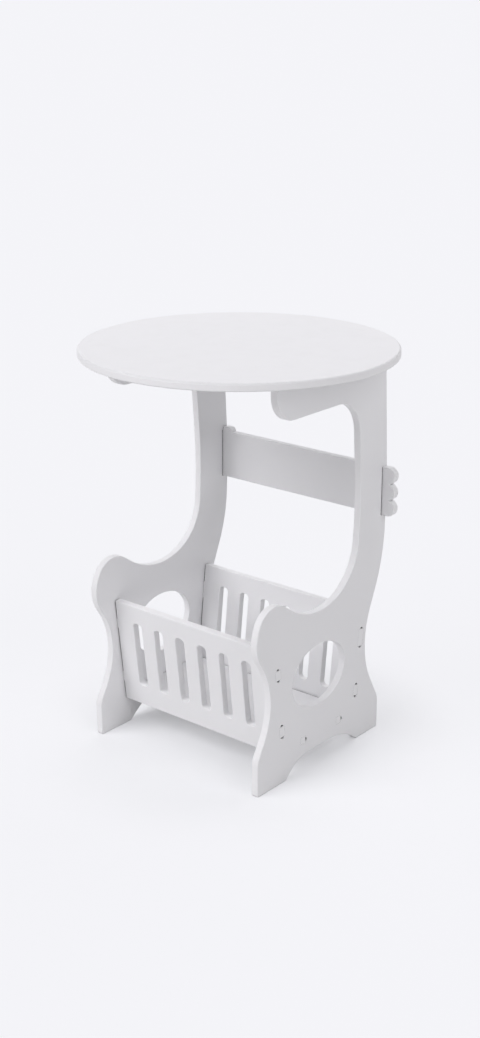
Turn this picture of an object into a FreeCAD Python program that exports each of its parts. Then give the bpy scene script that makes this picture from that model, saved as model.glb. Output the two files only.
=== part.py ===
import FreeCAD, Part
import math
import os
import re
from collections import namedtuple

import Sketcher

Vector = FreeCAD.Vector

# A side table cut from flat white board: a round top on two C-shaped side panels, with a magazine
# rack slotted between their feet and a crossbar behind. X runs from panel to panel, the user sits
# at -Y, Z is up, and the origin is the floor point under the middle of the round top.
# Sizes are in millimetres and degrees; "forward" and "back" are distances from the middle of the top.
SIZES = {
    # Boards and their fits
    "board_thickness": 10,
    "fit_gap": 0.2,
    "end_gap": 1.2,
    "edge_ease": 1.2,
    # Round top
    "top_diameter": 400,
    "top_thickness": 10,
    "table_height": 527.5,
    "rim_round": 2.5,
    "rim_under_round": 1.5,
    # Side panels: the space between them, then the corners of their outline
    "inside_width": 257,
    "sharp_round": 3,
    "foot_forward": 131.5,
    "foot_front_height": 48,
    "foot_front_round": 25,
    "waist_forward": 89,
    "waist_front_height": 122,
    "waist_front_round": 100,
    "lobe_forward": 142,
    "lobe_front_height": 200.5,
    "lobe_front_round": 48,
    "lobe_top_forward": 110.5,
    "lobe_top_height": 259.5,
    "lobe_top_round": 33,
    "dip_forward": 28,
    "dip_height": 202.5,
    "dip_round": 96,
    "column_root_back": 67.5,
    "column_root_height": 229,
    "column_root_round": 74,
    "column_front_back": 74.5,
    "column_front_height": 334,
    "column_bow_round": 600,
    "arm_corner_back": 64,
    "arm_corner_round": 45,
    "arm_depth": 49,
    "arm_forward": 99,
    "arm_nose_round": 33,
    "column_top_back": 120.5,
    "column_back": 129.5,
    "column_back_height": 372,
    "shoulder_height": 247,
    "shoulder_round": 218,
    "waist_back": 78.5,
    "waist_back_height": 126.5,
    "waist_back_round": 118,
    "foot_back": 124.3,
    "foot_back_height": 44.5,
    "foot_back_round": 28,
    "arch_back": 77,
    "arch_front": 75,
    "arch_height": 22.5,
    "arch_crown_back": 46,
    "arch_back_round": 86,
    "arch_crown_front": 49,
    "arch_front_round": 55,
    # Oval window in each side panel
    "oval_forward": 8.5,
    "oval_height": 124,
    "oval_width": 110,
    "oval_rise": 83,
    # Rack: two leaning slatted panels on a shelf, all with tenons through the side panels
    "rack_base": 38,
    "rack_lean": 6.4,
    "rack_front_forward": 79.7,
    "rack_back_back": 68.8,
    "rack_front_height": 147,
    "rack_back_height": 144.5,
    "slot_count": 6,
    "slot_pitch": 36.7,
    "slot_width": 14.6,
    "slot_length": 92.5,
    "slot_top_margin": 25,
    "slot_round": 5.5,
    "lower_tenon_bottom": 27,
    "lower_tenon_length": 14.5,
    "front_upper_tenon_bottom": 107.5,
    "front_upper_tenon_length": 13,
    "back_upper_tenon_bottom": 95.5,
    "back_upper_tenon_length": 23.5,
    "shelf_front_tenon_forward": 40.5,
    "shelf_back_tenon_back": 35.3,
    "shelf_tenon_width": 10,
    "relief_round": 2.6,
    # Crossbar with a lobed tab outside each side panel
    "bar_height": 65,
    "bar_middle_height": 335,
    "bar_notch_gap": 1.2,
    "bar_ear_length": 16,
    "bar_ear_rise": 6,
    "bar_ear_round": 5.5,
    "bar_ear_stop_round": 3,
    "tab_reach": 8,
    "tab_lobe_pitch": 21.7,
    "tab_valley_reach": 3,
    # Angle brackets and screws that hold the top on the side panels
    "bracket_leg": 22,
    "bracket_width": 16,
    "bracket_thickness": 1.6,
    "bracket_bend_round": 3,
    "bracket_corner_round": 4,
    "bracket_hole_offset": 13,
    "bracket_front_forward": 58,
    "bracket_back_back": 96,
    "screw_diameter": 3.5,
    "screw_head_diameter": 7,
    "screw_head_height": 2.4,
    "screw_head_round": 1.8,
    "screw_bite": 7.5,
    "screw_tip": 2,
    "screw_hole_gap": 0.1,
    "recess_length": 3.6,
    "recess_width": 1,
    "recess_depth": 1.4,
}

RIGHT = 1
LEFT = -1

doc = FreeCAD.newDocument("magazine_table")
sheet = doc.addObject("Spreadsheet::Sheet", "Sizes")
for row, (name, value) in enumerate(SIZES.items(), start=1):
    sheet.set(f"A{row}", name)
    sheet.set(f"B{row}", str(value))
    sheet.setAlias(f"B{row}", name)
doc.recompute()


def formula(words):
    """Turn a formula in size names into an expression that reads the sheet."""
    return re.sub(r"[a-z_]+", lambda word: f"Sizes.{word[0]}" if word[0] in SIZES else word[0], words)


def number(words):
    return float(sheet.evalExpression(formula(words)))


def bind(thing, path, words):
    thing.setExpression(path, formula(words))


# One corner of a closed outline, listed counter-clockwise. A corner may be rounded, and the edge that
# leaves it may be an arc about a centre whose X or Y is given.
Corner = namedtuple("Corner", "across up round centre", defaults=(None, None))


def corner_half_angle(spots, index):
    into = (spots[index - 1] - spots[index]).normalize()
    out = (spots[(index + 1) % len(spots)] - spots[index]).normalize()
    return into, out, into.getAngle(out) / 2


def limited_rounds(spots, corners):
    """Each corner's radius factor: 1, or less where two roundings would meet on a short side."""
    reach = []
    for index, corner in enumerate(corners):
        half = corner_half_angle(spots, index)[2]
        reach.append(number(corner.round) / math.tan(half) if corner.round else 0)
    factors = []
    for index in range(len(corners)):
        before = (spots[index] - spots[index - 1]).Length
        after = (spots[(index + 1) % len(spots)] - spots[index]).Length
        room_before = before / max(reach[index] + reach[index - 1], 1e-6)
        room_after = after / max(reach[index] + reach[(index + 1) % len(reach)], 1e-6)
        room = min(room_before, room_after)
        factors.append(1 if room > 1 else 0.98 * room)
    return factors


def draw_outline(sketch, corners):
    """Draw a closed outline and tie every corner, rounding and arc centre to the sheet."""
    spots = [Vector(number(corner.across), number(corner.up), 0) for corner in corners]
    factors = limited_rounds(spots, corners)
    arrive = list(spots)
    leave = list(spots)
    middles = {}
    for index, corner in enumerate(corners):
        if corner.round:
            into, out, half = corner_half_angle(spots, index)
            radius = number(corner.round) * factors[index]
            arrive[index] = spots[index] + into * (radius / math.tan(half))
            leave[index] = spots[index] + out * (radius / math.tan(half))
            middles[index] = spots[index] + (into + out).normalize() * (radius / math.sin(half))

    def arc(middle, start, end):
        first = math.atan2(start.y - middle.y, start.x - middle.x)
        last = math.atan2(end.y - middle.y, end.x - middle.x)
        if last <= first:
            last += 2 * math.pi
        circle = Part.Circle(middle, Vector(0, 0, 1), (start - middle).Length)
        return Part.ArcOfCircle(circle, first, last)

    def edge_arc(index):
        start = leave[index]
        end = arrive[(index + 1) % len(corners)]
        axis, words = corners[index].centre
        halfway = (start + end) / 2
        side = Vector(-(end - start).y, (end - start).x, 0)
        if axis == "X":
            step = (number(words) - halfway.x) / side.x
        else:
            step = (number(words) - halfway.y) / side.y if abs(side.y) > 1e-9 else 0
        return arc(halfway + side * step, start, end)

    rules = []

    def rule(kind, *arguments, words=None):
        rules.append((Sketcher.Constraint(kind, *arguments), words))

    def fix(geometry, end, corner):
        rule("DistanceX", -1, 1, geometry, end, number(corner.across), words=corner.across)
        rule("DistanceY", -1, 1, geometry, end, number(corner.up), words=corner.up)

    edges = []
    for index, corner in enumerate(corners):
        line = Part.LineSegment(leave[index], arrive[(index + 1) % len(corners)])
        edges.append(sketch.addGeometry(edge_arc(index) if corner.centre else line, False))
    for index, corner in enumerate(corners):
        before = edges[index - 1]
        after = edges[index]
        if corner.centre:
            axis, words = corner.centre
            rule("Distance" + axis, -1, 1, after, 3, number(words), words=words)
        if not corner.round:
            rule("Coincident", before, 2, after, 1)
            fix(after, 1, corner)
            continue
        turns_left = (arrive[index] - spots[index]).cross(leave[index] - spots[index]).z < 0
        ends = (arrive[index], leave[index]) if turns_left else (leave[index], arrive[index])
        rounding = sketch.addGeometry(arc(middles[index], *ends), False)
        tip = sketch.addGeometry(Part.Point(spots[index]), True)
        fix(tip, 1, corner)
        rule("PointOnObject", tip, 1, before)
        rule("PointOnObject", tip, 1, after)
        rule("Tangent", before, 2, rounding, 1 if turns_left else 2)
        rule("Tangent", after, 1, rounding, 2 if turns_left else 1)
        words = corner.round if factors[index] == 1 else f"({corner.round}) * {factors[index]:.6f}"
        rule("Radius", rounding, number(words), words=words)
    numbers = sketch.addConstraint([constraint for constraint, words in rules])
    for index, (constraint, words) in zip(numbers, rules):
        if words:
            sketch.setExpression(f"Constraints[{index}]", formula(words))


def draw_circle(sketch, across, up, diameter):
    centre = Vector(number(across), number(up), 0)
    circle = sketch.addGeometry(Part.Circle(centre, Vector(0, 0, 1), number(diameter) / 2), False)
    for kind, words in (("DistanceX", across), ("DistanceY", up)):
        index = sketch.addConstraint(Sketcher.Constraint(kind, -1, 1, circle, 3, number(words)))
        sketch.setExpression(f"Constraints[{index}]", formula(words))
    index = sketch.addConstraint(Sketcher.Constraint("Diameter", circle, number(diameter)))
    sketch.setExpression(f"Constraints[{index}]", formula(diameter))


def draw_ellipse(sketch, across, up, width, height):
    centre = Vector(number(across), number(up), 0)
    curve = Part.Ellipse(centre, number(width) / 2, number(height) / 2)
    ellipse = sketch.addGeometry(curve, False)
    sketch.exposeInternalGeometry(ellipse)
    long_axis = ellipse + 1
    short_axis = ellipse + 2
    sketch.addConstraint(Sketcher.Constraint("Horizontal", long_axis))
    sizes = (
        (("DistanceX", -1, 1, ellipse, 3), across),
        (("DistanceY", -1, 1, ellipse, 3), up),
        (("Distance", long_axis), width),
        (("Distance", short_axis), height),
    )
    for arguments, words in sizes:
        index = sketch.addConstraint(Sketcher.Constraint(*arguments, number(words)))
        sketch.setExpression(f"Constraints[{index}]", formula(words))


def new_body(name):
    body = doc.addObject("PartDesign::Body", name)
    body.Label = name
    return body


def new_sketch(body, name, plane, offset=(), turn=None):
    """A sketch on one of the body's own planes, moved along its axes and turned in it by formulas."""
    sketch = body.newObject("Sketcher::SketchObject", f"{body.Name}_{name}")
    flat = next(part for part in body.Origin.OriginFeatures if part.Role == plane)
    sketch.AttachmentSupport = (flat, "")
    sketch.MapMode = "FlatFace"
    for axis, words in zip("xyz", offset):
        bind(sketch, f"AttachmentOffset.Base.{axis}", words)
    if turn:
        bind(sketch, "AttachmentOffset.Rotation.Angle", turn)
    return sketch


def pad(body, sketch, length, midplane=False):
    feature = body.newObject("PartDesign::Pad", f"{sketch.Name}_pad")
    feature.Profile = sketch
    feature.Midplane = midplane
    bind(feature, "Length", length)
    doc.recompute()
    return feature


def pocket(body, sketch, depth=None, backwards=False):
    """Cut a sketch through the body, or to a depth; backwards cuts along the sketch's normal."""
    whole = body.Tip.Shape.Volume
    feature = body.newObject("PartDesign::Pocket", f"{sketch.Name}_cut")
    feature.Profile = sketch
    feature.Reversed = backwards
    if depth:
        bind(feature, "Length", depth)
    else:
        feature.Type = "ThroughAll"
    doc.recompute()
    if feature.Shape.Volume > whole - 1:
        raise RuntimeError(f"{feature.Name} cuts nothing")
    return feature


def ease(body, name, radius, chosen):
    """Round the edges of the body that the test picks."""
    base = body.Tip
    edges = [f"Edge{index}" for index, edge in enumerate(base.Shape.Edges, start=1) if chosen(edge)]
    feature = body.newObject("PartDesign::Fillet", f"{body.Name}_{name}")
    feature.Base = (base, edges)
    bind(feature, "Radius", radius)
    doc.recompute()
    return feature


def place(body, across="0", back="0", up="0", axis=None, angle=None):
    for name, words in (("x", across), ("y", back), ("z", up)):
        bind(body, f"Placement.Base.{name}", words)
    if axis:
        body.Placement = FreeCAD.Placement(Vector(), FreeCAD.Rotation(axis, number(angle)))
        bind(body, "Placement.Rotation.Angle", angle)


def in_plane(edge, axis, *levels):
    """True where the whole edge lies at one of the levels along an axis."""
    box = edge.BoundBox
    low = getattr(box, axis + "Min")
    high = getattr(box, axis + "Max")
    return any(abs(low - level) < 1e-4 and abs(high - level) < 1e-4 for level in levels)


# Spots where the four brackets sit, as formulas for the distance behind the middle of the top.
BRACKET_SPOTS = {"front": "-bracket_front_forward", "back": "bracket_back_back"}
SCREW_HOLE = "screw_diameter + 2 * screw_hole_gap"
SCREW_HOLE_DEPTH = "screw_bite + 2 * screw_hole_gap"
TOP_UNDERSIDE = "table_height - top_thickness"


def make_table_top():
    body = new_body("table_top")
    disc = new_sketch(body, "disc", "XY_Plane")
    draw_circle(disc, "0", "0", "top_diameter")
    pad(body, disc, "top_thickness")
    upper = number("top_thickness")
    ease(body, "rim", "rim_round", lambda edge: in_plane(edge, "Z", upper))
    ease(body, "under_rim", "rim_under_round", lambda edge: in_plane(edge, "Z", 0))
    holes = new_sketch(body, "screw_holes", "XY_Plane")
    for side in ("", "-"):
        for back in BRACKET_SPOTS.values():
            draw_circle(holes, f"{side}(inside_width / 2 - bracket_hole_offset)", back, SCREW_HOLE)
    pocket(body, holes, SCREW_HOLE_DEPTH, backwards=True)
    place(body, up=TOP_UNDERSIDE)
    return body


def side_outline():
    """Corners of a side panel, seen from +X: up the back, along the arm, down the front, over the arch."""
    arm_under = f"{TOP_UNDERSIDE} - arm_depth"
    return [
        Corner("foot_back", "0", "sharp_round"),
        Corner("foot_back", "foot_back_height", "foot_back_round"),
        Corner("waist_back", "waist_back_height", "waist_back_round"),
        Corner("column_back", "shoulder_height", "shoulder_round"),
        Corner("column_back", "column_back_height", "column_bow_round"),
        Corner("column_top_back", TOP_UNDERSIDE, "sharp_round"),
        Corner("-arm_forward", TOP_UNDERSIDE, "sharp_round"),
        Corner("-arm_forward", arm_under, "arm_nose_round"),
        Corner("arm_corner_back", arm_under, "arm_corner_round"),
        Corner("column_front_back", "column_front_height", "column_bow_round"),
        Corner("column_root_back", "column_root_height", "column_root_round"),
        Corner("-dip_forward", "dip_height", "dip_round"),
        Corner("-lobe_top_forward", "lobe_top_height", "lobe_top_round"),
        Corner("-lobe_forward", "lobe_front_height", "lobe_front_round"),
        Corner("-waist_forward", "waist_front_height", "waist_front_round"),
        Corner("-foot_forward", "foot_front_height", "foot_front_round"),
        Corner("-foot_forward", "0", "sharp_round"),
        Corner("-arch_front", "0", "sharp_round"),
        Corner("-arch_crown_front", "arch_height", "arch_front_round"),
        Corner("arch_crown_back", "arch_height", "arch_back_round"),
        Corner("arch_back", "0", "sharp_round"),
    ]


def upright_mortise(bottom, top):
    """A mortise for a leaning board's tenon, with a drilled relief in the middle of each end."""
    half = "(board_thickness / 2 + fit_gap)"
    low = f"{bottom} - fit_gap"
    high = f"{top} + fit_gap"
    return [
        Corner(f"-{half}", low),
        Corner("-relief_round", low, centre=("Y", low)),
        Corner("relief_round", low),
        Corner(half, low),
        Corner(half, high),
        Corner("relief_round", high, centre=("Y", high)),
        Corner("-relief_round", high),
        Corner(f"-{half}", high),
    ]


def shelf_mortise(middle):
    """A mortise for one of the shelf's tenons, with a drilled relief in its back end."""
    half = "(shelf_tenon_width / 2 + fit_gap)"
    low = "rack_base - fit_gap"
    high = "rack_base + board_thickness + fit_gap"
    back = f"{middle} + {half}"
    centre_line = "rack_base + board_thickness / 2"
    return [
        Corner(f"{middle} - {half}", low),
        Corner(back, low),
        Corner(back, f"{centre_line} - relief_round", centre=("X", back)),
        Corner(back, f"{centre_line} + relief_round"),
        Corner(back, high),
        Corner(f"{middle} - {half}", high),
    ]


def tenon_span(name):
    """Bottom and top of a rack panel's tenon, measured up the panel."""
    return (f"{name}_bottom", f"{name}_bottom + {name}_length")


FRONT_TENONS = (tenon_span("lower_tenon"), tenon_span("front_upper_tenon"))
BACK_TENONS = (tenon_span("lower_tenon"), tenon_span("back_upper_tenon"))
SHELF_TENONS = ("-shelf_front_tenon_forward", "shelf_back_tenon_back")


def make_side_panel(name, side):
    body = new_body(name)
    outline = new_sketch(body, "outline", "YZ_Plane")
    draw_outline(outline, side_outline())
    pad(body, outline, "board_thickness")
    window = new_sketch(body, "window", "YZ_Plane")
    draw_ellipse(window, "-oval_forward", "oval_height", "oval_width", "oval_rise")
    pocket(body, window, backwards=True)
    faces = (0, number("board_thickness"))
    ease(body, "edges", "edge_ease", lambda edge: in_plane(edge, "X", *faces))

    front_foot = ("-rack_front_forward", "rack_base")
    front = new_sketch(body, "front_mortises", "YZ_Plane", front_foot, "rack_lean")
    for bottom, top in FRONT_TENONS:
        draw_outline(front, upright_mortise(bottom, top))
    pocket(body, front, backwards=True)
    back_foot = ("rack_back_back", "rack_base")
    back = new_sketch(body, "back_mortises", "YZ_Plane", back_foot, "-rack_lean")
    for bottom, top in BACK_TENONS:
        draw_outline(back, upright_mortise(bottom, top))
    pocket(body, back, backwards=True)
    shelf = new_sketch(body, "shelf_mortises", "YZ_Plane")
    for middle in SHELF_TENONS:
        draw_outline(shelf, shelf_mortise(middle))
    pocket(body, shelf, backwards=True)

    notch = new_sketch(body, "bar_notch", "YZ_Plane")
    floor = "column_back - board_thickness - bar_notch_gap"
    mouth = "column_back + board_thickness"
    low = "bar_middle_height - bar_height / 2 - fit_gap"
    high = "bar_middle_height + bar_height / 2 + fit_gap"
    draw_outline(notch, [Corner(floor, low), Corner(mouth, low), Corner(mouth, high), Corner(floor, high)])
    pocket(body, notch, backwards=True)

    inner_face = "0" if side == RIGHT else "board_thickness"
    holes = new_sketch(body, "screw_holes", "YZ_Plane", ("0", "0", inner_face))
    for spot in BRACKET_SPOTS.values():
        draw_circle(holes, spot, f"{TOP_UNDERSIDE} - bracket_hole_offset", SCREW_HOLE)
    pocket(body, holes, SCREW_HOLE_DEPTH, backwards=side == RIGHT)
    place(body, "inside_width / 2" if side == RIGHT else "-inside_width / 2 - board_thickness")
    return body


# Half the length of a board between the side panels, and the same with its tenons.
SHOULDER = "(inside_width / 2 - end_gap)"
TENON_TIP = "(inside_width / 2 + board_thickness)"


def rack_outline(height, tenons):
    """A rack panel seen flat: a rectangle with two tenons on each end."""
    right = [(SHOULDER, "0")]
    for bottom, top in tenons:
        right += [(SHOULDER, bottom), (TENON_TIP, bottom), (TENON_TIP, top), (SHOULDER, top)]
    right += [(SHOULDER, height)]
    left = [(f"-{across}", up) for across, up in reversed(right)]
    return [Corner(across, up) for across, up in right + left]


def rack_slot(middle, height):
    """One slot of a rack panel, hung from the panel's top edge."""
    right = f"{middle} + slot_width / 2"
    left = f"{middle} - slot_width / 2"
    high = f"{height} - slot_top_margin"
    low = f"{high} - slot_length"
    spots = ((right, low), (right, high), (left, high), (left, low))
    return [Corner(across, up, "slot_round") for across, up in spots]


def make_rack_panel(name, height, tenons, foot, angle):
    body = new_body(name)
    outline = new_sketch(body, "outline", "XY_Plane")
    draw_outline(outline, rack_outline(height, tenons))
    pad(body, outline, "board_thickness", midplane=True)
    slots = new_sketch(body, "slots", "XY_Plane", ("0", "0", "board_thickness / 2"))
    count = int(number("slot_count"))
    for index in range(count):
        draw_outline(slots, rack_slot(f"{index - (count - 1) / 2} * slot_pitch", height))
    pocket(body, slots)
    half = number("board_thickness / 2")
    end = number(SHOULDER) - 1e-3

    def shows(edge):
        return in_plane(edge, "Z", half, -half) and abs(edge.CenterOfMass.x) < end

    ease(body, "edges", "edge_ease", shows)
    place(body, "0", foot, "rack_base", Vector(1, 0, 0), angle)
    return body


def make_rack_shelf():
    """The shelf lies between the two leaning panels, clear of both by the fit gap."""
    body = new_body("rack_shelf")
    wall = "board_thickness / 2 / cos(rack_lean)"
    front = f"-rack_front_forward + {wall} + fit_gap"
    back = f"rack_back_back - {wall} - fit_gap"
    right = [(SHOULDER, front)]
    for middle in SHELF_TENONS:
        near = f"{middle} - shelf_tenon_width / 2"
        far = f"{middle} + shelf_tenon_width / 2"
        right += [(SHOULDER, near), (TENON_TIP, near), (TENON_TIP, far), (SHOULDER, far)]
    right += [(SHOULDER, back)]
    left = [(f"-{across}", up) for across, up in reversed(right)]
    outline = new_sketch(body, "outline", "XY_Plane")
    draw_outline(outline, [Corner(across, up) for across, up in right + left])
    pad(body, outline, "board_thickness")
    levels = (number(front), number(back))

    def runs_along(edge):
        return in_plane(edge, "Y", *levels) and edge.BoundBox.XLength > 1

    ease(body, "edges", "edge_ease", runs_along)
    place(body, up="rack_base")
    return body


def make_back_crossbar():
    """A bar along X through the side panels' notches, with an ear inside and a lobed tab outside each."""
    body = new_body("back_crossbar")
    top = "bar_height / 2"
    ear_top = f"{top} + bar_ear_rise"
    ear_stop = "(inside_width / 2 - fit_gap)"
    ear_start = f"({ear_stop} - bar_ear_length)"
    root = "(inside_width / 2 + board_thickness + tab_reach)"
    lobe = "(bar_height / 2 - tab_lobe_pitch)"
    valley = f"({root} + tab_valley_reach)"
    rise = f"sqrt({lobe} * {lobe} - tab_valley_reach * tab_valley_reach)"
    outward = ("X", root)
    right = [
        Corner(root, f"-{top}", centre=outward),
        Corner(valley, f"-tab_lobe_pitch + {rise}"),
        Corner(valley, f"-{rise}", centre=outward),
        Corner(valley, rise),
        Corner(valley, f"tab_lobe_pitch - {rise}", centre=outward),
        Corner(root, top),
        Corner(ear_stop, top),
        Corner(ear_stop, ear_top, "bar_ear_stop_round"),
        Corner(ear_start, ear_top, "bar_ear_round"),
        Corner(ear_start, top),
    ]
    left = []
    for after, corner in zip(right, right[1:] + right[:1]):
        arc_before = after.centre and ("X", f"-{after.centre[1]}")
        left.append(Corner(f"-{corner.across}", corner.up, corner.round, arc_before))
    outline = new_sketch(body, "outline", "XZ_Plane")
    draw_outline(outline, right + left[-2::-1] + left[-1:])
    pad(body, outline, "board_thickness")
    faces = (0, -number("board_thickness"))
    end = number(ear_start) + 1e-3

    def shows(edge):
        is_lobe = edge.Curve.TypeId == "Part::GeomCircle" and abs(edge.CenterOfMass.x) > number(root)
        return in_plane(edge, "Y", *faces) and (is_lobe or abs(edge.CenterOfMass.x) < end)

    ease(body, "edges", "edge_ease", shows)
    place(body, "0", "column_back", "bar_middle_height")
    return body


def make_bracket(name, side, back):
    """An angle bracket: one leg under the top, one leg on the inner face of a side panel."""
    body = new_body(name)
    profile = new_sketch(body, "profile", "XZ_Plane")
    draw_outline(profile, [
        Corner("-bracket_leg", "0"),
        Corner("-bracket_leg", "-bracket_thickness"),
        Corner("-bracket_thickness", "-bracket_thickness", "bracket_bend_round - bracket_thickness"),
        Corner("-bracket_thickness", "-bracket_leg"),
        Corner("0", "-bracket_leg"),
        Corner("0", "0", "bracket_bend_round"),
    ])
    pad(body, profile, "bracket_width", midplane=True)
    leg = number("bracket_leg")

    def leg_corner(edge):
        box = edge.BoundBox
        short = max(box.XLength, box.ZLength) < number("bracket_thickness") + 1e-3 and box.YLength < 1e-3
        return short and (box.XMin < -leg + 1e-3 or box.ZMin < -leg + 1e-3)

    ease(body, "corners", "bracket_corner_round", leg_corner)
    top_hole = new_sketch(body, "top_hole", "XY_Plane")
    draw_circle(top_hole, "-bracket_hole_offset", "0", SCREW_HOLE)
    pocket(body, top_hole)
    side_hole = new_sketch(body, "side_hole", "YZ_Plane")
    draw_circle(side_hole, "0", "-bracket_hole_offset", SCREW_HOLE)
    pocket(body, side_hole)
    across = "inside_width / 2" if side == RIGHT else "-inside_width / 2"
    place(body, across, back, TOP_UNDERSIDE, Vector(0, 0, 1), "0" if side == RIGHT else "180")
    return body


def make_screw(name):
    """A pan-head screw along +Z: its head's seat at the origin, a crossed recess in the head."""
    body = new_body(name)
    profile = new_sketch(body, "profile", "XZ_Plane")
    shank = "screw_diameter / 2"
    length = "(bracket_thickness + screw_bite)"
    draw_outline(profile, [
        Corner("0", "-screw_head_height"),
        Corner("screw_head_diameter / 2", "-screw_head_height", "screw_head_round"),
        Corner("screw_head_diameter / 2", "0"),
        Corner(shank, "0"),
        Corner(shank, f"{length} - screw_tip"),
        Corner("0", length),
    ])
    turned = body.newObject("PartDesign::Revolution", f"{name}_turned")
    turned.Profile = profile
    turned.ReferenceAxis = (profile, ["V_Axis"])
    turned.Angle = 360
    doc.recompute()
    for words in ("0", "90"):
        slot = new_sketch(body, f"recess_{words}", "XY_Plane", ("0", "0", "-screw_head_height"), words)
        draw_outline(slot, [
            Corner("-recess_length / 2", "-recess_width / 2"),
            Corner("recess_length / 2", "-recess_width / 2"),
            Corner("recess_length / 2", "recess_width / 2"),
            Corner("-recess_length / 2", "recess_width / 2"),
        ])
        pocket(body, slot, "recess_depth", backwards=True)
    return body


def screw_group(name, screws):
    group = doc.addObject("Part::Compound", name)
    group.Label = name
    group.Links = screws
    return group


nodes = [
    make_table_top(),
    make_side_panel("right_side_panel", RIGHT),
    make_side_panel("left_side_panel", LEFT),
    make_back_crossbar(),
    make_rack_panel("rack_front_panel", "rack_front_height", FRONT_TENONS, "-rack_front_forward",
                    "90 + rack_lean"),
    make_rack_panel("rack_back_panel", "rack_back_height", BACK_TENONS, "rack_back_back",
                    "90 - rack_lean"),
    make_rack_shelf(),
]

top_screws = []
side_screws = []
for side, side_name in ((RIGHT, "right"), (LEFT, "left")):
    sign = "" if side == RIGHT else "-"
    for spot_name, back in BRACKET_SPOTS.items():
        nodes.append(make_bracket(f"{side_name}_{spot_name}_bracket", side, back))
        screw = make_screw(f"{side_name}_{spot_name}_top_screw")
        across = f"{sign}(inside_width / 2 - bracket_hole_offset)"
        place(screw, across, back, f"{TOP_UNDERSIDE} - bracket_thickness")
        top_screws.append(screw)
        screw = make_screw(f"{side_name}_{spot_name}_side_screw")
        across = f"{sign}(inside_width / 2 - bracket_thickness)"
        up = f"{TOP_UNDERSIDE} - bracket_hole_offset"
        place(screw, across, back, up, Vector(0, side, 0), "90")
        side_screws.append(screw)
nodes.append(screw_group("top_screws", top_screws))
nodes.append(screw_group("side_screws", side_screws))
doc.recompute()

for thing in doc.Objects:
    if "Invalid" in thing.State or "Error" in thing.State:
        raise RuntimeError(f"{thing.Label} did not build: {thing.State}")
for node in nodes:
    if node.Shape.isNull() or not node.Shape.isValid():
        raise RuntimeError(f"{node.Label} has no valid shape")

os.makedirs("parts", exist_ok=True)
for node in nodes:
    node.Shape.exportStep(f"parts/{node.Label}.step")
    size = node.Shape.BoundBox
    solids = len(node.Shape.Solids)
    extent = f"{size.XLength:.1f} x {size.YLength:.1f} x {size.ZLength:.1f}"
    print(f"{node.Label}: {solids} solid(s), {extent} mm, {node.Shape.Volume / 1000:.2f} cm3")
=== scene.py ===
# %% [markdown]
# A white magazine table, finished in Blender
#
# The table is cut from flat board: a round top, two C-shaped side panels, a slatted rack between
# their feet and a crossbar behind. Small steel brackets hold the top. All of it was drawn in CAD and
# comes in as a fixed frame, in place and at its real size. The boards could be modelled again here, but
# they already have their eased edges, slots and joints, and smooth normals from the CAD surfaces. So
# this lesson leaves their shapes alone and gives them finish, light and camera.

# %% Load the boards
import math

import bpy
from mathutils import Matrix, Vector

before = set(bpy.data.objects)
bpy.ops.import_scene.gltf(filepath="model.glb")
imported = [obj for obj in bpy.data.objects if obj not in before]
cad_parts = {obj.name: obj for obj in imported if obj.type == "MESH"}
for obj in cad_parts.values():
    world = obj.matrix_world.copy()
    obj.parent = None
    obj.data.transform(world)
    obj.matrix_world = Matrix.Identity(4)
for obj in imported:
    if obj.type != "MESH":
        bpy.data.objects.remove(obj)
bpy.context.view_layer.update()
print("pieces:", len(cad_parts), ", ".join(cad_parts))

# %% [markdown]
# Nodes from code
#
# A finish is a tree of nodes. By hand, each node is added, set and wired with the mouse. In code, one
# helper feeds a socket, from a wire or with a fixed value, and the others add the nodes that are needed
# most: sums, and noise for whatever is uneven. An image could give the unevenness too, but it stretches
# over the long boards and needs a UV map. Noise on Object coordinates, which are in metres, has its real
# size everywhere: at a scale of 500 it repeats about every 2 millimetres.

# %% Helpers that add and wire a node
def feed(tree, value, socket):
    if isinstance(value, bpy.types.NodeSocket):
        tree.links.new(value, socket)
    else:
        socket.default_value = value


def math_node(tree, operation, *values, clamp=False):
    node = tree.nodes.new("ShaderNodeMath")
    node.operation = operation
    node.use_clamp = clamp
    for socket, value in zip(node.inputs, values):
        feed(tree, value, socket)
    return node.outputs[0]


def noise(tree, vector, scale, detail=3.0, roughness=0.5):
    node = tree.nodes.new("ShaderNodeTexNoise")
    feed(tree, vector, node.inputs["Vector"])
    feed(tree, scale, node.inputs["Scale"])
    node.inputs["Detail"].default_value = detail
    node.inputs["Roughness"].default_value = roughness
    return node.outputs["Fac"]


print("helpers:", feed.__name__, math_node.__name__, noise.__name__)

# %% [markdown]
# Node groups: effects that several finishes share
#
# All boards of the table come from one paint shop, so they share their effects. The nodes could be
# copied into each material, but then a correction has to be made seven times. A node group is a small
# machine with named sockets: built once and placed in each material, it keeps the boards alike. It puts
# out only masks and values that change over the surface; the shader itself stays in the material.

# %% A helper that makes an empty group with named sockets
SOCKETS = {"vector": "NodeSocketVector", "value": "NodeSocketFloat"}


def new_group(title, inputs, outputs):
    group = bpy.data.node_groups.new(title, "ShaderNodeTree")
    for name, kind, default in inputs:
        socket = group.interface.new_socket(name, in_out="INPUT", socket_type=SOCKETS[kind])
        if default is not None:
            socket.default_value = default
    for name, kind in outputs:
        group.interface.new_socket(name, in_out="OUTPUT", socket_type=SOCKETS[kind])
    entry = group.nodes.new("NodeGroupInput")
    leaving = group.nodes.new("NodeGroupOutput")
    return group, entry.outputs, leaving.inputs


print("kinds of group socket:", ", ".join(SOCKETS))

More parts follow.
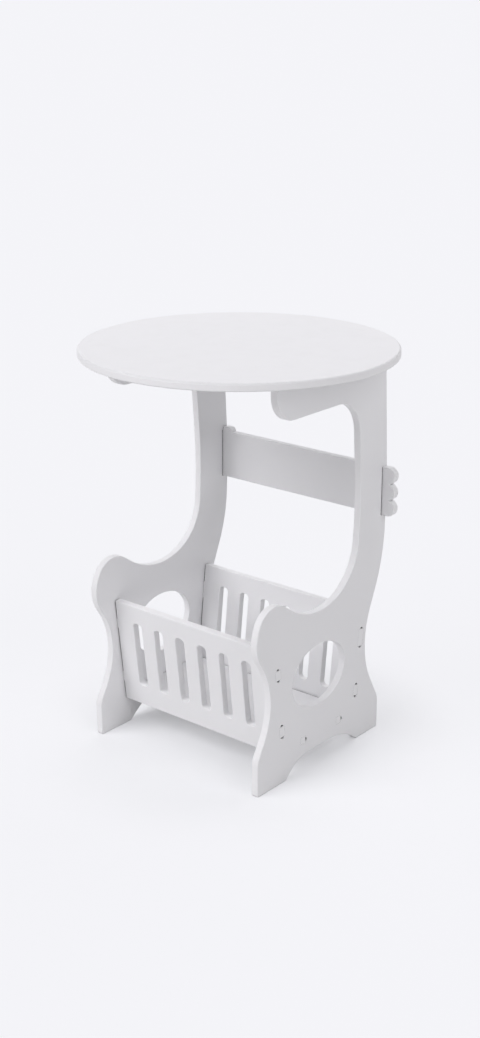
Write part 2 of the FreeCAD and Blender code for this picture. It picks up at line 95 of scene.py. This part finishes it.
# %% [markdown]
# Sprayed lacquer
#
# The boards are sprayed white. Sprayed paint is never quite even: it has a slow drift in tone over a
# hand's breadth, where one pass of the gun overlaps the next, a cloudier drift in gloss, and a fine
# orange-peel ripple about two millimetres across. One noise with much detail could drive all three, but
# it would tie tone, gloss and ripple to the same spots, and that looks like dirt. So three noises of
# three sizes give them.

# %% Group: sprayed lacquer
DRIFT_SCALE = 5.5
GLOSS_SCALE = 34.0

lacquer, inside, out = new_group(
    "sprayed lacquer",
    [("Vector", "vector", None), ("Drift", "value", 0.015), ("Peel Scale", "value", 520.0)],
    [("Tone", "value"), ("Gloss Drift", "value"), ("Peel", "value")],
)
slow = noise(lacquer, inside["Vector"], DRIFT_SCALE, detail=2.0)
centred = math_node(lacquer, "SUBTRACT", slow, 0.5)
tone = math_node(lacquer, "MULTIPLY_ADD", centred, inside["Drift"], 1.0)
cloudy = noise(lacquer, inside["Vector"], GLOSS_SCALE, detail=4.0, roughness=0.6)
peel = noise(lacquer, inside["Vector"], inside["Peel Scale"], detail=2.0, roughness=0.45)
lacquer.links.new(tone, out["Tone"])
lacquer.links.new(cloudy, out["Gloss Drift"])
lacquer.links.new(peel, out["Peel"])
print("group:", lacquer.name, "nodes:", len(lacquer.nodes))

# %% [markdown]
# Ramps and directions
#
# The next effects depend on where a point lies and which way it faces. A colour ramp could pick the
# right band of such a value by eye; a Map Range node does it by numbers, with soft ends, and turns the
# band round when its low end is given as the higher number. Vector Math works on the directions.

# %% Helpers for a direction and a smooth ramp
def vector_node(tree, operation, *values):
    node = tree.nodes.new("ShaderNodeVectorMath")
    node.operation = operation
    for socket, value in zip(node.inputs, values):
        feed(tree, value, socket)
    return node.outputs


def remap(tree, value, low, high, to_low=0.0, to_high=1.0):
    node = tree.nodes.new("ShaderNodeMapRange")
    node.interpolation_type = "SMOOTHSTEP"
    feed(tree, value, node.inputs["Value"])
    node.inputs["From Min"].default_value = low
    node.inputs["From Max"].default_value = high
    node.inputs["To Min"].default_value = to_low
    node.inputs["To Max"].default_value = to_high
    return node.outputs["Result"]


print("helpers:", vector_node.__name__, remap.__name__)

# %% [markdown]
# Routed edges
#
# The router leaves the edge of a board duller than its face: the cutter opens the fibres, and the
# paint sinks in along fine lines that follow the board. Face and edge could have two materials, but that
# needs a cut in the mesh. The direction of the board's face tells them apart without one: where the
# normal leaves that direction, the point lies on the cut edge. The fibres are a noise squeezed hard
# across the board's thickness, so that it draws out into lines along it.

# %% Group: routed edge
FACE_LIMIT = 0.9
EDGE_LIMIT = 0.25
FIBRE_ALONG = 60.0
FIBRE_ACROSS = 1900.0

routed, inside, out = new_group(
    "routed edge",
    [("Vector", "vector", None), ("Normal", "vector", None),
     ("Face Direction", "vector", (0.0, 0.0, 1.0))],
    [("Edge", "value"), ("Fibre", "value")],
)
along = vector_node(routed, "DOT_PRODUCT", inside["Normal"], inside["Face Direction"])
facing = math_node(routed, "ABSOLUTE", along["Value"])
squeeze = vector_node(routed, "MULTIPLY_ADD", inside["Face Direction"],
                      (FIBRE_ACROSS,) * 3, (FIBRE_ALONG,) * 3)
squeezed = vector_node(routed, "MULTIPLY", inside["Vector"], squeeze["Vector"])
fibre = noise(routed, squeezed["Vector"], 1.0, roughness=0.6)
routed.links.new(remap(routed, facing, FACE_LIMIT, EDGE_LIMIT), out["Edge"])
routed.links.new(fibre, out["Fibre"])
print("group:", routed.name, "nodes:", len(routed.nodes))

# %% [markdown]
# Settled dust
#
# A table gathers a breath of dust on what faces up, and its feet pick up a grey trace from the floor.
# Dust could be painted on by hand, but then every board needs its own painting. Two masks find the
# places on all of them: the normal's upward part, and the height over the floor. A patchy noise breaks
# both up, because dust never lies evenly.

# %% Group: settled dust
UPWARD_START = 0.6
LYING_SHARE = 0.3
PATCH_SCALE = 48.0
PATCH_LOW = 0.4
PATCH_HIGH = 0.75

dust, inside, out = new_group(
    "settled dust",
    [("Vector", "vector", None), ("Normal", "vector", None), ("Amount", "value", 0.2),
     ("Floor Reach", "value", 0.02)],
    [("Mask", "value")],
)
direction = dust.nodes.new("ShaderNodeSeparateXYZ")
dust.links.new(inside["Normal"], direction.inputs[0])
place = dust.nodes.new("ShaderNodeSeparateXYZ")
dust.links.new(inside["Vector"], place.inputs[0])
upward = remap(dust, direction.outputs["Z"], UPWARD_START, 1.0)
climb = math_node(dust, "DIVIDE", place.outputs["Z"], inside["Floor Reach"])
near_floor = math_node(dust, "SUBTRACT", 1.0, climb, clamp=True)
lying = math_node(dust, "MULTIPLY_ADD", upward, LYING_SHARE, near_floor, clamp=True)
uneven = noise(dust, inside["Vector"], PATCH_SCALE, detail=5.0, roughness=0.65)
patchy = math_node(dust, "MULTIPLY", lying, remap(dust, uneven, PATCH_LOW, PATCH_HIGH))
dust.links.new(math_node(dust, "MULTIPLY", patchy, inside["Amount"]), out["Mask"])
print("group:", dust.name, "nodes:", len(dust.nodes))

# %% [markdown]
# Painted shade in the joints
#
# Where two boards meet, a narrow gap stays open, and shade falls in it: the photograph shows these gaps
# as dark lines and the round reliefs of the mortises as dark dots. Soft light alone leaves them too
# pale, so the shade is painted into the colour; doing that with an image would need a map of every
# joint. The Ambient Occlusion node measures how closed in a point is. With a reach of a few millimetres
# it finds the gaps and reliefs and paints them dark, and the wide inner corners stay clean.

# %% Group: painted joint shade
OPEN_LIMIT = 0.45
CLOSED_LIMIT = 0.12
FEELER_RAYS = 8

joint_shade, inside, out = new_group(
    "painted joint shade",
    [("Reach", "value", 0.006)],
    [("Mask", "value")],
)
closeness = joint_shade.nodes.new("ShaderNodeAmbientOcclusion")
closeness.samples = FEELER_RAYS
joint_shade.links.new(inside["Reach"], closeness.inputs["Distance"])
# The mask paints shade into the gaps and mortise reliefs that the occlusion finds.
joint_shade.links.new(remap(joint_shade, closeness.outputs["AO"], OPEN_LIMIT, CLOSED_LIMIT), out["Mask"])
print("group:", joint_shade.name, "nodes:", len(joint_shade.nodes))

# %% [markdown]
# Parts of a material
#
# Paint and metal are both one Principled shader here, with groups and textures in front of it. Each
# material could be wired out in full, but most steps repeat. These helpers start a material, place a
# group in it with its own values, and mix two colours.

# %% Helpers for a material
def new_material(name):
    material = bpy.data.materials.new(name)
    material.use_nodes = True
    tree = material.node_tree
    return material, tree, tree.nodes["Principled BSDF"].inputs


def place_group(tree, group, **values):
    node = tree.nodes.new("ShaderNodeGroup")
    node.node_tree = group
    for name, value in values.items():
        feed(tree, value, node.inputs[name.replace("_", " ")])
    return node.outputs


def mix_color(tree, factor, first, second, blend="MIX"):
    node = tree.nodes.new("ShaderNodeMix")
    node.data_type = "RGBA"
    node.blend_type = blend
    # The Mix node keeps its colour sockets behind those for numbers and vectors.
    for socket, value in zip((node.inputs[0], node.inputs[6], node.inputs[7]), (factor, first, second)):
        feed(tree, value, socket)
    return node.outputs[2]


print("helpers:", new_material.__name__, place_group.__name__, mix_color.__name__)

# %% [markdown]
# The colour of a board
#
# White lacquer is a neutral white a little below full. It could be one flat colour, but a real board
# shows its making: the spray drifts and dust lies on it. Two more mixes paint light and shade into the
# colour: a slightly lighter white on the cut edges is a painted highlight, and a near black in the gaps
# of the joints is painted shade. Each of these is one mix over the last, in the order edge, spray, dust
# and joint.

# %% Board colour
WHITE = (0.86, 0.859, 0.868, 1.0)
# Painted highlight: the cut edges are drawn a little lighter than the faces.
EDGE_HIGHLIGHT_WHITE = (0.885, 0.884, 0.892, 1.0)
DUST_GREY = (0.62, 0.61, 0.60, 1.0)
# Painted shade for the gaps and reliefs of the joints.
PAINTED_SHADE_DARK = (0.05, 0.05, 0.055, 1.0)


def board_color(tree, edge, tone, dusty, joint_shade_mask):
    # The first mix paints a highlight on the cut edges, the last paints shade into the joints.
    cut = mix_color(tree, edge, WHITE, EDGE_HIGHLIGHT_WHITE)
    sprayed = mix_color(tree, 1.0, cut, tone, "MULTIPLY")
    dusted = mix_color(tree, dusty, sprayed, DUST_GREY)
    return mix_color(tree, joint_shade_mask, dusted, PAINTED_SHADE_DARK)


print("board white:", WHITE[:3], "edge white:", EDGE_HIGHLIGHT_WHITE[:3])

# %% [markdown]
# The sheen and the ripple of a board
#
# The faces have a satin sheen, and the routed edges are rougher. Peel and fibres are far thinner than a
# hair. They could be real geometry, but that would take millions of faces; a bump only tilts the light
# on the surface, which is all that such a ripple does.

# %% Board sheen and ripple
FACE_ROUGHNESS = 0.42
EDGE_ROUGHNESS = 0.58
GLOSS_SPREAD = 0.08
FIBRE_DEPTH = 2.0
RIPPLE_HEIGHT = 0.00005
RIPPLE_STRENGTH = 0.6


def bump(tree, height, distance, strength):
    node = tree.nodes.new("ShaderNodeBump")
    node.inputs["Distance"].default_value = distance
    node.inputs["Strength"].default_value = strength
    tree.links.new(height, node.inputs["Height"])
    return node.outputs["Normal"]


def board_roughness(tree, edge, drift):
    lowest = FACE_ROUGHNESS - GLOSS_SPREAD / 2
    face = math_node(tree, "MULTIPLY_ADD", drift, GLOSS_SPREAD, lowest)
    rougher = math_node(tree, "MULTIPLY", edge, EDGE_ROUGHNESS - FACE_ROUGHNESS)
    return math_node(tree, "ADD", face, rougher)


def board_ripple(tree, edge, fibre, peel):
    fibres = math_node(tree, "MULTIPLY", fibre, edge)
    relief = math_node(tree, "MULTIPLY_ADD", fibres, FIBRE_DEPTH, peel)
    return bump(tree, relief, RIPPLE_HEIGHT, RIPPLE_STRENGTH)


print("roughness of faces:", FACE_ROUGHNESS, "of edges:", EDGE_ROUGHNESS)

# %% [markdown]
# The whole finish of a board
#
# Now the groups and the steps above come together. One material for all boards would be simpler, but
# the routed edge needs to know which way a board faces. So a function makes the finish and takes that
# direction. What is the same all over the board, such as the lacquer's refraction, is set on the shader.

# %% Material: satin white board
LACQUER_IOR = 1.46
LACQUER_SPECULAR = 0.35


def white_board(name, face_direction):
    material, tree, shader = new_material(name)
    where = tree.nodes.new("ShaderNodeTexCoord").outputs
    skin = place_group(tree, lacquer, Vector=where["Object"])
    cut = place_group(tree, routed, Vector=where["Object"], Normal=where["Normal"],
                      Face_Direction=face_direction)
    settled = place_group(tree, dust, Vector=where["Object"], Normal=where["Normal"])
    # The joint mask carries painted shade for the gaps and reliefs.
    painted_shade = place_group(tree, joint_shade)
    color = board_color(tree, cut["Edge"], skin["Tone"], settled["Mask"], painted_shade["Mask"])
    tree.links.new(color, shader["Base Color"])
    tree.links.new(board_roughness(tree, cut["Edge"], skin["Gloss Drift"]), shader["Roughness"])
    tree.links.new(board_ripple(tree, cut["Edge"], cut["Fibre"], skin["Peel"]), shader["Normal"])
    shader["IOR"].default_value = LACQUER_IOR
    shader["Specular IOR Level"].default_value = LACQUER_SPECULAR
    return material


print("finish:", white_board.__name__, "refraction:", LACQUER_IOR)

# %% [markdown]
# Finishing the boards
#
# The side panels face sideways, the top and the shelf face up, the crossbar faces back, and the two
# rack panels lean a few degrees outwards. The direction could be measured on each mesh, but the boards
# are flat and few, so it is simply written down.

# %% Give each board its finish
LEAN = math.radians(6.4)
face_directions = {
    "table_top": (0, 0, 1),
    "left_side_panel": (1, 0, 0),
    "right_side_panel": (1, 0, 0),
    "back_crossbar": (0, 1, 0),
    "rack_front_panel": (0, math.cos(LEAN), math.sin(LEAN)),
    "rack_back_panel": (0, math.cos(LEAN), -math.sin(LEAN)),
    "rack_shelf": (0, 0, 1),
}


def dress(piece, material):
    piece.data.materials.clear()
    piece.data.materials.append(material)
    print(piece.name, "gets", material.name, "on", len(piece.data.polygons), "triangles")


for name, face_direction in face_directions.items():
    dress(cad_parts[name], white_board(f"white board {name}", face_direction))

# %% [markdown]
# Zinc-plated steel
#
# The four angle brackets and their screws sit in the corner under the top. Zinc plating is a soft grey
# metal with faint cloudy crystals. A plain noise would make it look smeared, so a cell texture with
# soft borders drifts the tone and the roughness from crystal to crystal. The screws get finer cells.

# %% Material: zinc-plated steel
CRYSTAL_LIGHT = 1.08
CRYSTAL_DARK = 0.9
CRYSTAL_SOFTNESS = 0.5
CRYSTAL_GLOSS = 0.12
GRAIN_SCALE = 900.0
GRAIN_HEIGHT = 0.00002
GRAIN_STRENGTH = 0.4


def zinc_steel(name, tone, cell_scale, roughness):
    material, tree, shader = new_material(name)
    where = tree.nodes.new("ShaderNodeTexCoord").outputs
    cells = tree.nodes.new("ShaderNodeTexVoronoi")
    cells.feature = "SMOOTH_F1"
    cells.inputs["Scale"].default_value = cell_scale
    cells.inputs["Smoothness"].default_value = CRYSTAL_SOFTNESS
    tree.links.new(where["Object"], cells.inputs["Vector"])
    crystal = tree.nodes.new("ShaderNodeSeparateColor")
    tree.links.new(cells.outputs["Color"], crystal.inputs[0])
    dark = tuple(part * CRYSTAL_DARK for part in tone) + (1.0,)
    light = tuple(part * CRYSTAL_LIGHT for part in tone) + (1.0,)
    tree.links.new(mix_color(tree, crystal.outputs[0], dark, light), shader["Base Color"])
    gloss = math_node(tree, "MULTIPLY_ADD", crystal.outputs[1], CRYSTAL_GLOSS, roughness)
    tree.links.new(gloss, shader["Roughness"])
    grain = noise(tree, where["Object"], GRAIN_SCALE)
    tree.links.new(bump(tree, grain, GRAIN_HEIGHT, GRAIN_STRENGTH), shader["Normal"])
    shader["Metallic"].default_value = 1.0
    return material


bracket_zinc = zinc_steel("zinc bracket", (0.70, 0.71, 0.72), 320.0, 0.30)
screw_zinc = zinc_steel("zinc screw", (0.64, 0.64, 0.65), 900.0, 0.24)
for name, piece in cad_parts.items():
    if name.endswith("_bracket"):
        dress(piece, bracket_zinc)
    if name.endswith("_screws"):
        dress(piece, screw_zinc)

# %% [markdown]
# The lamps
#
# The photograph was taken in a white studio: broad light from the front, softer light from the right
# and from behind, and no hard shadow anywhere. Big area lamps could do this, but they fade with
# distance and would leave the floor patchy. A sun with a wide angle is just as soft and lights the
# floor evenly all the way back, so four of them stand round the table. Each helper call returns the
# light that its lamp puts on the open floor, because the floor's tone depends on it.

# %% Four soft suns
LAMP_COOL = (0.985, 0.975, 1.0)
SOFTNESS = math.radians(50)
LAMP_DISTANCE = 3.0
AMBIENT = 0.03
LAMPS = {
    # name: (degrees to the left of the table's front, degrees over the floor, strength)
    "front_key": (26, 38, 1.94),
    "right_fill": (-80, 35, 1.07),
    "left_rim": (130, 35, 0.36),
    "back_lamp": (180, 46, 0.80),
}


def soft_sun(name, leftward, elevation, strength):
    leftward = math.radians(leftward)
    elevation = math.radians(elevation)
    flat = math.cos(elevation)
    toward = Vector((-math.sin(leftward) * flat, -math.cos(leftward) * flat, math.sin(elevation)))
    bpy.ops.object.light_add(type="SUN", location=LAMP_DISTANCE * toward)
    lamp = bpy.context.object
    lamp.name = name
    lamp.data.color = LAMP_COOL
    lamp.data.energy = strength
    lamp.data.angle = SOFTNESS
    lamp.rotation_euler = toward.to_track_quat("Z", "Y").to_euler()
    return strength * toward.z / math.pi


floor_light = AMBIENT
for name, settings in LAMPS.items():
    floor_light += soft_sun(name, *settings)
print("lamps:", len(LAMPS), "light on the open floor:", round(floor_light, 3))

# %% [markdown]
# Who is looking
#
# The photograph shows no horizon: floor and wall run into one pale tone. More light on a white floor
# would get there too, but it would burn out the white boards. Light Path tells which rays come from the
# eye, straight or through a reflection. Only those get to see the pale tone.

# %% A helper that tells rays from the eye
BACKGROUND = (0.914, 0.914, 0.948)


def seen_directly(tree):
    rays = tree.nodes.new("ShaderNodeLightPath").outputs
    mirrored = math_node(tree, "MAXIMUM", rays["Is Glossy Ray"], rays["Is Transmission Ray"])
    return math_node(tree, "MAXIMUM", rays["Is Camera Ray"], mirrored)


print("tone of floor and backdrop:", BACKGROUND)

# %% [markdown]
# The floor
#
# The floor carries the soft shadow under the table. Close to the table most of its tone is lit, so the
# shadow under the feet is deep, and that lit tone is a little darker there: painted shade for the
# studio light that the table takes away. Further out most of it glows, so the long shadows fade away.
# A floor that is lit all over would keep them, and the photograph hasn't any. Rays that carry light
# between surfaces see plain white, which throws light back up on the boards as a real floor does.

# %% A pale floor that keeps the shadow
FLOOR_HALF = 400.0
BOUNCE_WHITE = (0.86, 0.86, 0.86, 1.0)
BLACK = (0.0, 0.0, 0.0, 1.0)
SHADOW_NEAR = 0.10
SHADOW_FAR = 0.32
NEAR_SHARE = 0.78
FAR_SHARE = 0.10
NEAR_PAINTED_SHADE = 0.93
# The lit tone is scaled down by the painted shade factor, which darkens the floor near the table.
LIT_WHITE = tuple(NEAR_PAINTED_SHADE * tone / (floor_light * lamp) for tone, lamp in zip(BACKGROUND, LAMP_COOL))

bpy.ops.object.select_all(action="DESELECT")
bpy.ops.mesh.primitive_plane_add(size=2 * FLOOR_HALF, location=(0, 0, 0))
floor = bpy.context.object
floor.name = "studio_floor"
floor_material, tree, shader = new_material("pale studio floor")
seen = seen_directly(tree)
away = vector_node(tree, "LENGTH", tree.nodes.new("ShaderNodeTexCoord").outputs["Object"])
lit_share = remap(tree, away["Value"], SHADOW_NEAR, SHADOW_FAR, NEAR_SHARE, FAR_SHARE)
lit = mix_color(tree, lit_share, BLACK, (*LIT_WHITE, 1.0))
glow = math_node(tree, "SUBTRACT", 1.0, lit_share)
tree.links.new(mix_color(tree, seen, BOUNCE_WHITE, lit), shader["Base Color"])
tree.links.new(math_node(tree, "MULTIPLY", seen, glow), shader["Emission Strength"])
shader["Emission Color"].default_value = (*BACKGROUND, 1.0)
shader["Roughness"].default_value = 1.0
shader["Specular IOR Level"].default_value = 0.0
floor.data.materials.append(floor_material)
print("floor:", floor.name, "lit part:", [round(part, 3) for part in LIT_WHITE])

# %% [markdown]
# The backdrop
#
# Past the floor the camera looks into the world. A wall could stand there, but it would show where it
# meets the floor. The world has the floor's tone for the rays that see it directly. For all others it
# is a faint white, so that it adds next to nothing to the lamps.

# %% A world of the same tone
world = bpy.data.worlds.new("white studio")
bpy.context.scene.world = world
world.use_nodes = True
tree = world.node_tree
ambient = tree.nodes["Background"]
ambient.inputs["Color"].default_value = (1.0, 1.0, 1.0, 1.0)
ambient.inputs["Strength"].default_value = AMBIENT
backdrop = tree.nodes.new("ShaderNodeBackground")
backdrop.inputs["Color"].default_value = (*BACKGROUND, 1.0)
chooser = tree.nodes.new("ShaderNodeMixShader")
tree.links.new(seen_directly(tree), chooser.inputs[0])
tree.links.new(ambient.outputs[0], chooser.inputs[1])
tree.links.new(backdrop.outputs[0], chooser.inputs[2])
tree.links.new(chooser.outputs[0], tree.nodes["World Output"].inputs["Surface"])
print("world:", world.name, "nodes:", len(tree.nodes))

# %% [markdown]
# The camera
#
# The camera stands where the photographer's stood. It could be nudged by eye until the picture fits,
# but the photograph tells where that is: the ellipse of the round top and the feet give the angle, and
# how fast the panels shrink with distance gives the lens.

# %% Camera at the photograph's viewing angle
FRAME_HEIGHT_PX = 1038
FOCAL_PX = 1531.6
SENSOR_MM = 36.0
AZIMUTH = math.radians(39.631)
PITCH = math.radians(19.125)
STAND = Vector((1.1878, -1.4325, 0.9439))

camera_data = bpy.data.cameras.new("studio_camera")
camera = bpy.data.objects.new("studio_camera", camera_data)
bpy.context.scene.collection.objects.link(camera)
camera_data.sensor_width = SENSOR_MM
camera_data.lens = FOCAL_PX / FRAME_HEIGHT_PX * SENSOR_MM
camera.location = STAND
level = math.cos(PITCH)
gaze = Vector((-math.sin(AZIMUTH) * level, math.cos(AZIMUTH) * level, -math.sin(PITCH)))
camera.rotation_euler = gaze.to_track_quat("-Z", "Y").to_euler()
bpy.context.scene.camera = camera
bpy.context.scene.view_settings.view_transform = "Standard"
print("lens:", round(camera_data.lens, 2), "mm")
